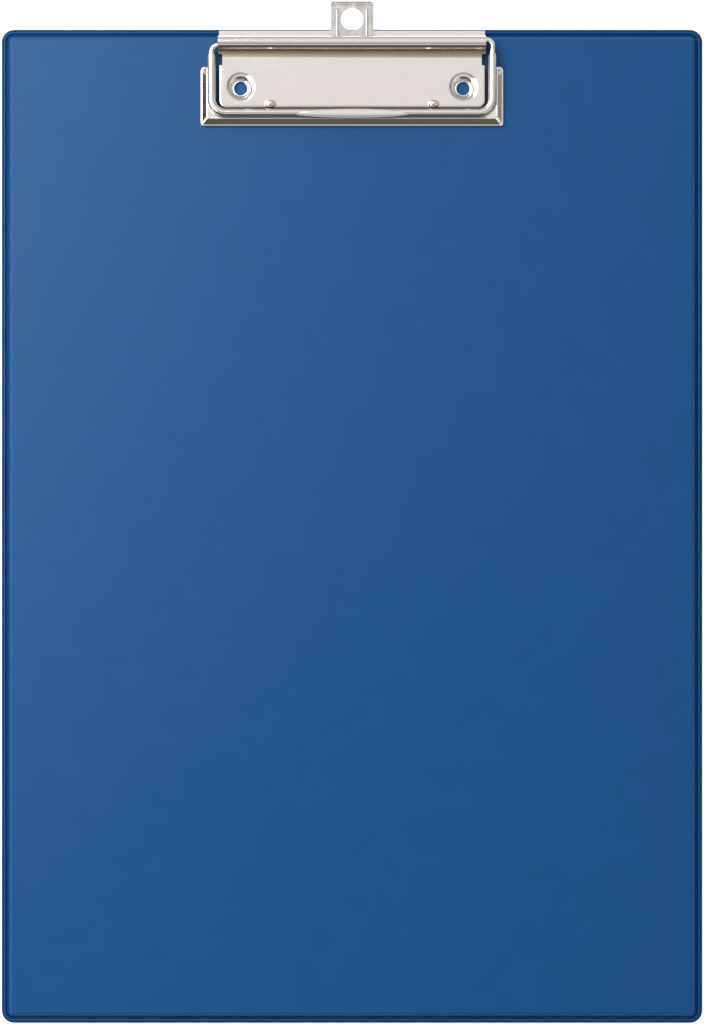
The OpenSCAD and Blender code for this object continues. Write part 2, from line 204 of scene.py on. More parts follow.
def apply_modifier(obj, kind, **settings):
    """Adds a modifier and applies it."""
    modifier = obj.modifiers.new(kind.title(), kind)
    for key, value in settings.items():
        setattr(modifier, key, value)
    bpy.ops.object.modifier_apply(modifier=modifier.name)


def face_outwards(up=None):
    """Makes the edited mesh's normals agree, and turns them over if on the whole they look away from up."""
    bpy.ops.mesh.select_all(action="SELECT")
    bpy.ops.mesh.normals_make_consistent(inside=False)
    if up is None:
        return
    bm = bmesh.from_edit_mesh(bpy.context.object.data)
    total = sum((f.normal.dot(up) * f.calc_area() for f in bm.faces), 0.0)
    if total < 0:
        bpy.ops.mesh.flip_normals()


def join_into(target, others):
    """Joins the other objects into the target and leaves it active."""
    clear_selection()
    for obj in others:
        obj.select_set(True)
    target.select_set(True)
    bpy.context.view_layer.objects.active = target
    bpy.ops.object.join()
    return bpy.context.object


def cut_away(obj, cutter):
    """Cuts the closed cutter out of the closed object."""
    clear_selection()
    obj.select_set(True)
    bpy.context.view_layer.objects.active = obj
    apply_modifier(obj, "BOOLEAN", object=cutter, operation="DIFFERENCE", solver="EXACT")
    bpy.data.objects.remove(cutter)


def finish_piece(obj, body, material, replaced, angle=40):
    """Shades the piece, gives it its finish and ties it to the frame."""
    clear_selection()
    obj.select_set(True)
    bpy.context.view_layer.objects.active = obj
    bpy.ops.object.shade_smooth_by_angle(angle=math.radians(angle))
    apply_modifier(obj, "WEIGHTED_NORMAL", keep_sharp=True, weight=60)
    obj.data.materials.clear()
    obj.data.materials.append(material)
    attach(obj, body)
    for node in replaced:
        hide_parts(node)
    clear_selection()
    return obj


# --- Finishes ------------------------------------------------------------------------------

DEEP_FILM_AND_RIM_SHADE = (0.3, 0.45, 0.55)  # share of the film's colour that is left at the rim: the deeper colour of solid film, and painted shade in the rim's groove and slope
FILM_GLEAM = 0.25              # the film's specular level
CREASE_SHADE_TINT = (0.80, 0.68, 0.56)      # share of the plate's colour that is left in a crease: painted shade, darker and browner
CREASE_DULLNESS = 0.34         # what a crease adds to the plate's roughness
GREYBOARD = (0.3, 0.27, 0.22)


def new_material(name):
    """A new material, its node tree and its shader."""
    material = bpy.data.materials.new(name)
    material.use_nodes = True
    tree = material.node_tree
    return material, tree, tree.nodes["Principled BSDF"]


def add_node(tree, kind, **settings):
    """Adds a node; a setting with a capital goes to the input of that name."""
    node = tree.nodes.new(kind)
    for key, value in settings.items():
        if key in node.inputs:
            node.inputs[key].default_value = value
        else:
            setattr(node, key, value)
    return node


def ramp(tree, source, stops):
    """A ramp of grey levels or colours, fed from a socket."""
    node = tree.nodes.new("ShaderNodeValToRGB")
    elements = node.color_ramp.elements
    while len(elements) < len(stops):
        elements.new(0.5)
    for element, (place, level) in zip(elements, stops):
        element.position = place
        element.color = (level, level, level, 1.0) if isinstance(level, float) else level
    tree.links.new(source, node.inputs["Fac"])
    return node.outputs["Color"]


def feed(tree, slot, value):
    """Links a socket to an input, or sets the input to a value."""
    if isinstance(value, bpy.types.NodeSocket):
        tree.links.new(value, slot)
    else:
        slot.default_value = value


def reckon(tree, operation, *values):
    """The result of one operation on numbers and sockets."""
    node = add_node(tree, "ShaderNodeMath", operation=operation)
    for slot, value in zip(node.inputs, values):
        feed(tree, slot, value)
    return node.outputs[0]


def mix(tree, factor, base, other):
    """Mixes two colours, each of them a socket or a value."""
    node = add_node(tree, "ShaderNodeMix", data_type="RGBA")
    feed(tree, node.inputs["Factor"], factor)
    feed(tree, node.inputs["A"], base)
    feed(tree, node.inputs["B"], other)
    return node.outputs["Result"]


def tones(tree, pattern, colour, low, high):
    """Mixes a darker and a lighter tone of a colour by a pattern."""
    dark = [c * low for c in colour[:3]] + [1.0]
    light = [min(c * high, 1.0) for c in colour[:3]] + [1.0]
    return mix(tree, pattern, dark, light)


def tinted(colour, shares):
    """A colour with a share left of its red, green and blue."""
    return [c * share for c, share in zip(colour, shares)] + [1.0]


def stretched(tree, place, scale):
    """Places scaled along X, Y and Z, which draws a pattern out where the scale is small."""
    node = add_node(tree, "ShaderNodeMapping", Scale=scale)
    tree.links.new(place, node.inputs["Vector"])
    return node.outputs["Vector"]


def noise(tree, place, scale, detail, roughness, distortion=0.0):
    """A noise pattern over places on the piece."""
    node = add_node(
        tree, "ShaderNodeTexNoise", Scale=scale, Detail=detail, Roughness=roughness, Distortion=distortion)
    tree.links.new(place, node.inputs["Vector"])
    return node.outputs["Fac"]


def bump(tree, height, strength, distance, under=None):
    """A bump by a pattern, on top of another bump if one is given."""
    node = add_node(tree, "ShaderNodeBump", Strength=strength, Distance=distance)
    tree.links.new(height, node.inputs["Height"])
    if under is not None:
        tree.links.new(under, node.inputs["Normal"])
    return node.outputs["Normal"]


def rim_depth_and_shade(tree, place):
    """How dark the film is at the rim: solid film at the rim and in the weld is deeper in colour than film on
    board, and painted shade darkens the rim's groove and slope.
    """
    radius = film_settings().corner_radius
    nodes = [
        add_node(tree, "ShaderNodeVectorMath", operation="ABSOLUTE"),
        add_node(tree, "ShaderNodeVectorMath", operation="SUBTRACT"),
        add_node(tree, "ShaderNodeVectorMath", operation="MAXIMUM"),
        add_node(tree, "ShaderNodeVectorMath", operation="LENGTH"),
    ]
    nodes[1].inputs[1].default_value = (BOARD_W / 2 - radius, BOARD_L / 2 - radius, 1.0)
    nodes[2].inputs[1].default_value = (0.0, 0.0, 0.0)
    tree.links.new(place, nodes[0].inputs[0])
    for first, second in zip(nodes, nodes[1:]):
        tree.links.new(first.outputs["Vector"], second.inputs[0])
    stops = [(0.20, 0.0), (0.30, 0.12), (0.48, 0.40), (0.52, 0.95), (0.655, 0.95), (0.69, 0.0), (0.76, 0.0),
             (0.81, 0.9), (1.0, 1.0)]
    return ramp(tree, reckon(tree, "DIVIDE", nodes[3].outputs["Value"], radius), stops)


def film_material(colour):
    """Soft plastic film: a fine pressed grain, a slow ripple in its gloss and a faint cloudiness."""
    material, tree, shader = new_material("blue_film")
    link = tree.links.new
    place = add_node(tree, "ShaderNodeTexCoord").outputs["Object"]
    grain = noise(tree, place, 1900.0, 1.0, 0.6)
    cloud = noise(tree, place, 120.0, 2.0, 0.6)
    depth = rim_depth_and_shade(tree, place)
    # Painted shade: the rim's bands take the darker share, together with the deeper colour of solid film
    tone = mix(tree, depth, tones(tree, cloud, colour, 0.95, 1.05), tinted(colour, DEEP_FILM_AND_RIM_SHADE))
    link(tone, shader.inputs["Base Color"])
    link(ramp(tree, cloud, [(0.3, 0.43), (0.7, 0.49)]), shader.inputs["Roughness"])
    # Where the rim is darkened, its specular level and so its sheen are lowered too
    gleam = reckon(tree, "MULTIPLY_ADD", depth, -0.8 * FILM_GLEAM, FILM_GLEAM)
    link(gleam, shader.inputs["Specular IOR Level"])
    height = reckon(tree, "MULTIPLY_ADD", cloud, 2.0, grain)
    link(bump(tree, height, 0.35, 0.00005), shader.inputs["Normal"])
    return material


def crease_depth(tree, place, axis, centre, half):
    """How near a point is to the middle of a crease that lies across an axis."""
    parts = add_node(tree, "ShaderNodeSeparateXYZ")
    tree.links.new(place, parts.inputs[0])
    offset = reckon(tree, "SUBTRACT", parts.outputs[axis], centre)
    share = reckon(tree, "DIVIDE", reckon(tree, "ABSOLUTE", offset), half)
    return ramp(tree, share, [(0.65, 1.0), (1.0, 0.0)])


def plating_material(name, colour, gloss, wear=0.0, crease=None, soil=1.0):
    """Bright nickel plate: rolling lines, slow waves of the sheet, a patchy gloss, dents where it is worn, and
    a duller band in a crease, with painted shade that makes it darker and browner."""
    material, tree, shader = new_material(name)
    link = tree.links.new
    place = add_node(tree, "ShaderNodeTexCoord").outputs["Object"]
    waves = noise(tree, place, 70.0, 1.0, 0.4)
    lines = noise(tree, stretched(tree, place, (0.06, 1.0, 1.0)), 2200.0, 1.0, 0.6)
    drawn = stretched(tree, place, (1.0, 1.0 - 0.6 * wear, 1.0))
    smudge = noise(tree, drawn, 220.0 + 300.0 * wear, 3.0, 0.65)

    tone = tones(tree, smudge, colour, 0.95 - 0.3 * wear, 1.03)
    polish = ramp(tree, smudge, [(0.35, gloss), (0.75, gloss + 0.07 + 0.15 * wear)])
    if crease:
        band = crease_depth(tree, place, *crease)
        # Painted shade: the crease's colour is darkened and browned, by a share given per finish
        tone = mix(tree, band, tone, tinted(colour, [share * soil for share in CREASE_SHADE_TINT]))
        polish = reckon(tree, "MULTIPLY_ADD", band, CREASE_DULLNESS, polish)
    link(tone, shader.inputs["Base Color"])
    link(polish, shader.inputs["Roughness"])
    shader.inputs["Metallic"].default_value = 1.0

    relief = bump(tree, waves, 0.10, 0.0004)
    relief = bump(tree, lines, 0.05, 0.00002, relief)
    if wear:
        relief = bump(tree, smudge, 0.3 * wear, 0.0002, relief)
    link(relief, shader.inputs["Normal"])
    return material


def greyboard_material():
    """Pressed grey board: matt, with darker and lighter fibres."""
    material, tree, shader = new_material("greyboard")
    place = add_node(tree, "ShaderNodeTexCoord").outputs["Object"]
    fibre = noise(tree, place, 900.0, 6.0, 0.75, distortion=1.5)
    tree.links.new(tones(tree, fibre, GREYBOARD, 0.7, 1.25), shader.inputs["Base Color"])
    shader.inputs["Roughness"].default_value = 0.9
    tree.links.new(bump(tree, fibre, 0.5, 0.0001), shader.inputs["Normal"])
    return material


# --- Settings ------------------------------------------------------------------------------

class FilmSettings(bpy.types.PropertyGroup):
    """Sizes and colour of the two films."""
    corner_radius: bpy.props.FloatProperty(
        name="Corner radius", description="Radius of the board's corners", default=4 * MM, unit="LENGTH")
    thickness: bpy.props.FloatProperty(
        name="Film thickness", description="Thickness of each film",
        default=BACK_HIGH.z - BACK_LOW.z, unit="LENGTH")
    weld_width: bpy.props.FloatProperty(
        name="Weld width", description="Width of the pressed weld line", default=0.5 * MM, unit="LENGTH")
    colour: bpy.props.FloatVectorProperty(
        name="Film colour", description="Colour of the film", size=4, subtype="COLOR",
        default=(0.0010, 0.0620, 0.196, 1.0), min=0.0, max=1.0)


class ClipSettings(bpy.types.PropertyGroup):
    """Sizes and colours of the clip."""
    sheet_thickness: bpy.props.FloatProperty(
        name="Plate thickness", description="Thickness of the base plate's sheet",
        default=0.45 * MM, unit="LENGTH")
    jaw_thickness: bpy.props.FloatProperty(
        name="Jaw thickness", description="Thickness of the jaw's sheet", default=0.4 * MM, unit="LENGTH")
    wire_diameter: bpy.props.FloatProperty(
        name="Wire diameter", description="Diameter of the spring wire",
        default=WIRE_HIGH.z - WIRE_LOW.z, unit="LENGTH")
    sheet_colour: bpy.props.FloatVectorProperty(
        name="Plated sheet", description="Colour of the plated sheet", size=4, subtype="COLOR",
        default=(0.78, 0.75, 0.71, 1.0), min=0.0, max=1.0)
    wire_colour: bpy.props.FloatVectorProperty(
        name="Plated wire", description="Colour of the plated wire", size=4, subtype="COLOR",
        default=(0.76, 0.73, 0.70, 1.0), min=0.0, max=1.0)


class StudioSettings(bpy.types.PropertyGroup):
    """Camera and light."""
    camera_height: bpy.props.FloatProperty(
        name="Camera height", description="Height of the camera above the table",
        default=0.4808, unit="LENGTH")
    camera_y: bpy.props.FloatProperty(
        name="Camera place", description="Distance of the camera from the board's middle towards the clip",
        default=4.6 * MM, unit="LENGTH")
    field: bpy.props.FloatProperty(
        name="Field of view", description="Angle over the picture's long side",
        default=math.radians(37.8), subtype="ANGLE")
    key_power: bpy.props.FloatProperty(
        name="Key light", description="Power of the large soft light", default=8.0, unit="POWER")
    room_level: bpy.props.FloatProperty(
        name="Room level", description="Brightness of the room's light", default=1.0, min=0.0)


def film_settings():
    return bpy.context.scene.clipboard_film


def clip_settings():
    return bpy.context.scene.clipboard_clip


def studio_settings():
    return bpy.context.scene.clipboard_studio


def plated(name, colour, **look):
    """Makes a plated finish once and reuses it."""
    return bpy.data.materials.get(name) or plating_material(name, colour, **look)


def sheet_finish():
    """The rivets' finish: plain bright plate."""
    return plated("nickel_sheet", clip_settings().sheet_colour, gloss=0.09)


def plate_finish():
    """The base plate's finish, duller along the hollow in front of the spine, with painted shade there."""
    return plated("nickel_plate", clip_settings().sheet_colour, gloss=0.09,
                  crease=("Y", HINGE.y - 3.55 * MM, 1.15 * MM), soil=0.6)


def jaw_finish():
    """The jaw's finish, duller where the bead runs down into the web, with painted shade there."""
    return plated("nickel_jaw", clip_settings().sheet_colour, gloss=0.08,
                  crease=("Z", FACE_Z + 2.84 * MM, 0.72 * MM))


def loop_finish():
    """The loop's finish: darker and worn, and dull in its folded end, with painted shade there."""
    colour = [c * 0.86 for c in clip_settings().sheet_colour]
    return plated("nickel_worn", colour, gloss=0.16, wear=1.0,
                  crease=("Y", LOOP_HIGH.y - 0.30 * MM, 0.42 * MM), soil=0.4)


def wire_finish():
    """The wire's finish, the brightest of the clip."""
    return plated("nickel_wire", clip_settings().wire_colour, gloss=0.06)


def film_finish():
    """Makes the films' finish once and reuses it."""
    return bpy.data.materials.get("blue_film") or film_material(film_settings().colour)


# --- Board ---------------------------------------------------------------------------------

def on_ring(vertex, x, y, radius):
    """True if a vertex lies on an upright cylinder."""
    return near(math.hypot(vertex.co.x - x, vertex.co.y - y), radius, 2e-5)


class CLIPBOARD_OT_films(bpy.types.Operator):
    """Models the front film with its welded rim, and the back film"""
    bl_idname = "clipboard.add_films"
    bl_label = "Films"

    BARREL_HOLE_R = 2.4 * MM    # in the front film
    HEAD_HOLE_R = 4.05 * MM     # in the back film
    DISC_R = 2.0 * MM
    BACK_SHEET = 0.16 * MM
    # Sections from the outside in: inset and rise in mm
    RIM = [
        (0.00, 0.12), (0.22, 0.16), (0.22, 0.14), (0.18, 0.11), (0.16, 0.08), (0.16, 0.04), (0.16, 0.00),
        (0.12, -0.05), (0.10, -0.12), (0.06, -0.16), (0.06, -0.07),
    ]
    SLOPE = [(0.35, 0.30), (0.42, 0.62), (0.30, 0.45), (0.28, 0.29), (0.30, 0.17), (0.35, 0.08)]
    BACK_EDGE = [(0.00, 0.09), (0.05, 0.08), (0.10, 0.05), (0.35, 0.03)]

    def execute(self, context):
        settings = film_settings()
        film = settings.thickness
        front = self.outline("film_front", film)
        height = film
        for inset, rise in self.RIM:
            self.step_in(inset * MM, rise * MM)
            height += rise * MM
        self.step_in(settings.weld_width, 0.0)
        rises = sum(rise for _, rise in self.SLOPE) * MM
        stretch = (FACE_Z - height) / rises
        for inset, rise in self.SLOPE:
            self.step_in(inset * MM, rise * MM * stretch)
        self.pierce(self.BARREL_HOLE_R)
        face_outwards(Vector((0, 0, 1)))
        leave_edit()
        apply_modifier(front, "SOLIDIFY", thickness=film, offset=-1.0, use_even_offset=True)
        front = join_into(front, self.punched_discs(film))
        finish_piece(front, "board", film_finish(), ["front_cover"], angle=60)

        back = self.outline("film_back", film)
        bpy.ops.mesh.flip_normals()
        for inset, rise in self.BACK_EDGE:
            self.step_in(inset * MM, rise * MM)
        self.pierce(self.HEAD_HOLE_R)
        face_outwards(Vector((0, 0, -1)))
        leave_edit()
        apply_modifier(back, "SOLIDIFY", thickness=self.BACK_SHEET, offset=-1.0)
        finish_piece(back, "board", film_finish(), ["back_cover"], angle=60)
        return {"FINISHED"}

    def outline(self, name, level):
        """The board's outline with its rounded corners, as one selected face."""
        film = add_sheet(name, (0, 0, level), BOARD_W, BOARD_L)
        pick("VERT", lambda v: True)
        bpy.ops.mesh.bevel(offset=film_settings().corner_radius, segments=14, affect="VERTICES")
        pick("FACE", lambda f: True)
        return film

    def step_in(self, inset, rise):
        """Insets the selected face, or lifts it from its own edge, then moves it along its normal."""
        if inset:
            bpy.ops.mesh.inset(thickness=inset, depth=rise)
            return
        bm = bmesh.from_edit_mesh(bpy.context.object.data)
        base = next(iter(bm.faces)).verts[0].co.z
        bpy.ops.mesh.extrude_region_shrink_fatten(TRANSFORM_OT_shrink_fatten={"value": rise})
        pick("FACE", lambda f: all(near(v.co.z, base) for v in f.verts))
        bpy.ops.mesh.delete(type="ONLY_FACE")
        pick("FACE", lambda f: all(not near(v.co.z, base) for v in f.verts))

    def pierce(self, radius):
        """Fills the selected flat again with a round hole at each rivet."""
        bm = bmesh.from_edit_mesh(bpy.context.object.data)
        level = max(bm.faces, key=lambda f: f.calc_area()).verts[0].co.z
        bpy.ops.mesh.delete(type="ONLY_FACE")
        for side in (-1, 1):
            add_ring(radius, side * RIVET_X, RIVET_Y, level)
        pick("EDGE", lambda e: len(e.link_faces) < 2 and all(near(v.co.z, level) for v in e.verts))
        bpy.ops.mesh.fill(use_beauty=True)
        bm = bmesh.from_edit_mesh(bpy.context.object.data)
        if sum(f.calc_area() for f in bm.faces) < BOARD_W * BOARD_L:
            raise RuntimeError("the film's flat isn't filled")

    def punched_discs(self, film):
        """The two discs of film that the rivets punch out and keep inside their barrels."""
        made = []
        for side in (-1, 1):
            clear_selection()
            bpy.ops.mesh.primitive_cylinder_add(
                vertices=48, radius=self.DISC_R, depth=film,
                location=(side * RIVET_X, RIVET_Y, FACE_Z - film / 2))
            edit("disc")
            pick("EDGE", lambda e: near(e.verts[0].co.z, FACE_Z) and near(e.verts[1].co.z, FACE_Z))
            bpy.ops.mesh.bevel(offset=0.05 * MM, segments=2)
            made.append(leave_edit())
        return made


class CLIPBOARD_OT_core(bpy.types.Operator):
    """Gives the greyboard core its finish"""
    bl_idname = "clipboard.finish_core"
    bl_label = "Core"

    def execute(self, context):
        core = frame["nodes"]["board_core"]
        core.data.materials.clear()
        core.data.materials.append(greyboard_material())
        return {"FINISHED"}


# --- Clip ----------------------------------------------------------------------------------

class CLIPBOARD_OT_base_plate(bpy.types.Operator):
    """Models the base plate: panel, dishes, turned-down edges, hollow, rolled spine and rear flange"""
    bl_idname = "clipboard.add_base_plate"
    bl_label = "Base plate"

    FLANGE_L = 2.4 * MM
    LUG_X = 26 * MM
    LUG_HALF = (1.85 * MM, 1.3 * MM, 1.25 * MM)
    # The dish in section from the panel down: radius and height above the board's face, in mm
    DISH = [
        (4.72, 2.30), (4.66, 2.285), (4.58, 2.26), (4.42, 2.20), (4.20, 2.11), (3.95, 2.00), (3.70, 1.87),
        (3.45, 1.72), (3.25, 1.575), (3.10, 1.45), (3.00, 1.35), (2.92, 1.26), (2.86, 1.17), (2.80, 1.02),
        (2.77, 0.80), (2.75, 0.62), (2.66, 0.57), (2.40, 0.56),
    ]

    def execute(self, context):
        thickness = clip_settings().sheet_thickness
        half_w = PLATE_HIGH.x
        front_y = PLATE_LOW.y
        rim_r = self.DISH[0][0] * MM
        top = FACE_Z + self.DISH[0][1] * MM
        spine_r = PLATE_HIGH.z - HINGE.z
        hollow_r = 3.0 * MM
        lean = math.asin((top + hollow_r - HINGE.z) / (spine_r + hollow_r))
        hollow_y = HINGE.y - (spine_r + hollow_r) * math.cos(lean)
        notch_l = 2.4 * MM
        side_y = hollow_y - notch_l
        corner_r, bend_r = 2.35 * MM, 0.75 * MM

        plate = add_sheet(
            "clip_base_plate", (0, (front_y + hollow_y) / 2, top), 2 * half_w, hollow_y - front_y)
        bpy.ops.mesh.bisect(plane_co=(0, side_y, top), plane_no=(0, 1, 0))
        pick("VERT", lambda v: near(v.co.y, front_y))
        bpy.ops.mesh.bevel(offset=corner_r, segments=8, affect="VERTICES")

        def on_turned_edge(edge):
            return len(edge.link_faces) == 1 and middle(edge).y < side_y - 1e-5

        pick("EDGE", on_turned_edge)
        slide((0, 0, FACE_Z - top))
        pick("EDGE", lambda e: all(near(v.co.z, top) for v in e.verts) and len(e.link_faces) == 2
             and any(abs(f.normal.z) < 0.1 for f in e.link_faces))
        bpy.ops.mesh.bevel(offset=bend_r, segments=5)

        # The flat is filled again round the two dishes
        pick("FACE", lambda f: f.calc_center_median().z > top - 1e-6 and f.calc_center_median().y < side_y
             and f.calc_area() > 1e-4)
        bpy.ops.mesh.delete(type="ONLY_FACE")
        for side in (-1, 1):
            add_ring(rim_r, side * RIVET_X, RIVET_Y, top)
        pick("EDGE", lambda e: all(near(v.co.z, top) for v in e.verts) and len(e.link_faces) < 2
             and middle(e).y < side_y + 1e-6)
        bpy.ops.mesh.fill(use_beauty=True)
        for side in (-1, 1):
            pick("EDGE", lambda e: all(on_ring(v, side * RIVET_X, RIVET_Y, rim_r) for v in e.verts))
            draw_round(side * RIVET_X, FACE_Z, self.DISH)

        # The hollow, the rolled spine, its rear wall and the flange
        pick("EDGE", lambda e: all(near(v.co.y, hollow_y) for v in e.verts))
        degrees = 90 - math.degrees(lean)
        turn(degrees, (0, hollow_y, top + hollow_r), (1, 0, 0), 9)
        turn(-(180 - math.degrees(lean)), HINGE, (1, 0, 0), 28)
        flange_top = FACE_Z + thickness
        bend = 0.25 * MM
        slide((0, 0, flange_top + bend - HINGE.z))
        turn(90, (0, PLATE_HIGH.y - self.FLANGE_L + bend, flange_top + bend), (1, 0, 0), 4)
        slide((0, self.FLANGE_L - bend, 0))
        merge(1e-6)
        face_outwards(Vector((0, 0, 1)))
        leave_edit()
        apply_modifier(plate, "SOLIDIFY", thickness=thickness, offset=-1.0, use_even_offset=True)
        for cutter in self.cutters(half_w, side_y, hollow_y, top, flange_top):
            cut_away(plate, cutter)
        lugs = [self.lug(side * self.LUG_X, front_y, top) for side in (-1, 1)]
        plate = join_into(plate, lugs)
        finish_piece(plate, "board", plate_finish(), ["base_plate"], angle=35)
        return {"FINISHED"}

    def cutters(self, half_w, side_y, hollow_y, top, flange_top):
        """Closed blocks for the relief notches and for the loop's slot through the spine's rear wall."""
        notch_w, over = 1.2 * MM, 1 * MM
        middle_y = (side_y + hollow_y) / 2 + 0.55 * MM
        notch_block = (notch_w + over, hollow_y - side_y + 1.2 * MM, 3 * MM)
        made = []
        for side in (-1, 1):
            add_block("notch_cutter", (side * (half_w - notch_w / 2 + over / 2), middle_y, top), notch_block)
            pick("EDGE", lambda e: abs(e.verts[0].co.z - e.verts[1].co.z) > MM)
            bpy.ops.mesh.bevel(offset=0.3 * MM, segments=3)
            made.append(leave_edit())
        slot_block = (16.1 * MM, 1.4 * MM, 0.85 * MM)
        slot_z = flange_top + 0.43 * MM
        add_block("slot_cutter", (0, PLATE_HIGH.y - self.FLANGE_L, slot_z), slot_block)
        made.append(leave_edit())
        return made

    def lug(self, x, front_y, top):
        """A small bright dome pressed up at the panel's front edge."""
        add_ball("lug", (x, front_y + self.LUG_HALF[1], top - 0.15 * MM), self.LUG_HALF, 32, 16)
        return leave_edit()


class CLIPBOARD_OT_rivets(bpy.types.Operator):
    """Models the two tubular rivets, the second as a copy of the first"""
    bl_idname = "clipboard.add_rivets"
    bl_label = "Rivets"

    # Radius and height in mm, from the head's edge round to the inside of the barrel
    SECTION = [
        (3.70, 0.00), (3.92, 0.06), (4.00, 0.20), (4.00, 0.42), (3.92, 0.56), (3.75, 0.60), (2.45, 0.60),
        (2.35, 0.66), (2.35, 2.84), (2.38, 2.95), (2.52, 2.95), (2.60, 3.02), (2.60, 3.12), (2.54, 3.20),
        (2.42, 3.25), (2.28, 3.25), (2.14, 3.19), (2.07, 3.08), (2.05, 2.94), (2.05, 0.80), (1.95, 0.66),
        (1.75, 0.60),
    ]

    def execute(self, context):
        radius, height = self.SECTION[0]
        clear_selection()
        bpy.ops.mesh.primitive_circle_add(
            vertices=64, radius=radius * MM, location=(RIVET_X, RIVET_Y, height * MM), fill_type="NGON")
        rivet = edit("rivet_right_piece")
        pick("EDGE", lambda e: True)
        draw_round(RIVET_X, 0.0, self.SECTION)
        bpy.ops.mesh.edge_face_add()
        face_outwards()
        leave_edit()
        bpy.ops.object.duplicate()
        other = bpy.context.object
        other.name = "rivet_left_piece"
        bpy.ops.object.mode_set(mode="EDIT")
        bpy.ops.mesh.select_all(action="SELECT")
        bpy.ops.transform.translate(value=(-2 * RIVET_X, 0, 0))
        leave_edit()
        finish_piece(rivet, "board", sheet_finish(), ["rivet_right"])
        finish_piece(other, "board", sheet_finish(), ["rivet_left"])
        return {"FINISHED"}


class CLIPBOARD_OT_wire(bpy.types.Operator):
    """Models the spring wire: two bars in the spine, the legs and the front run"""
    bl_idname = "clipboard.add_wire"
    bl_label = "Spring wire"

    def execute(self, context):
        radius = clip_settings().wire_diameter / 2
        leg_x = WIRE_HIGH.x - radius
        run_y = WIRE_LOW.y + radius
        bar_offset = WIRE_HIGH.y - radius - HINGE.y
        bar_end = PLATE_HIGH.x - 1.5 * MM
        rear_r, front_r = 1.95 * MM, 4.5 * MM
        up = (0, 0, 1)
        clear_selection()
        bpy.ops.mesh.primitive_circle_add(
            vertices=24, radius=radius, fill_type="NGON", rotation=(0, math.pi / 2, 0),
            location=(-bar_end, HINGE.y + bar_offset, HINGE.z))
        wire = edit("clip_spring_wire")
        pick("EDGE", lambda e: True)
        bpy.ops.mesh.select_mode(type="EDGE")
        slide((leg_x - rear_r + bar_end, 0, 0))
        turn(-90, (leg_x - rear_r, HINGE.y + bar_offset - rear_r, HINGE.z), up, 12)
        slide((0, run_y + front_r - (HINGE.y + bar_offset - rear_r), 0))
        turn(-90, (leg_x - front_r, run_y + front_r, HINGE.z), up, 16)
        slide((-2 * (leg_x - front_r), 0, 0))
        turn(-90, (front_r - leg_x, run_y + front_r, HINGE.z), up, 16)
        slide((0, HINGE.y - bar_offset - rear_r - run_y - front_r, 0))
        turn(-90, (rear_r - leg_x, HINGE.y - bar_offset - rear_r, HINGE.z), up, 12)
        slide((bar_end + leg_x - rear_r, 0, 0))
        bpy.ops.mesh.edge_face_add()
        merge(1e-7)
        face_outwards()
        leave_edit()
        finish_piece(wire, "jaw", wire_finish(), ["spring_wire"])
        return {"FINISHED"}


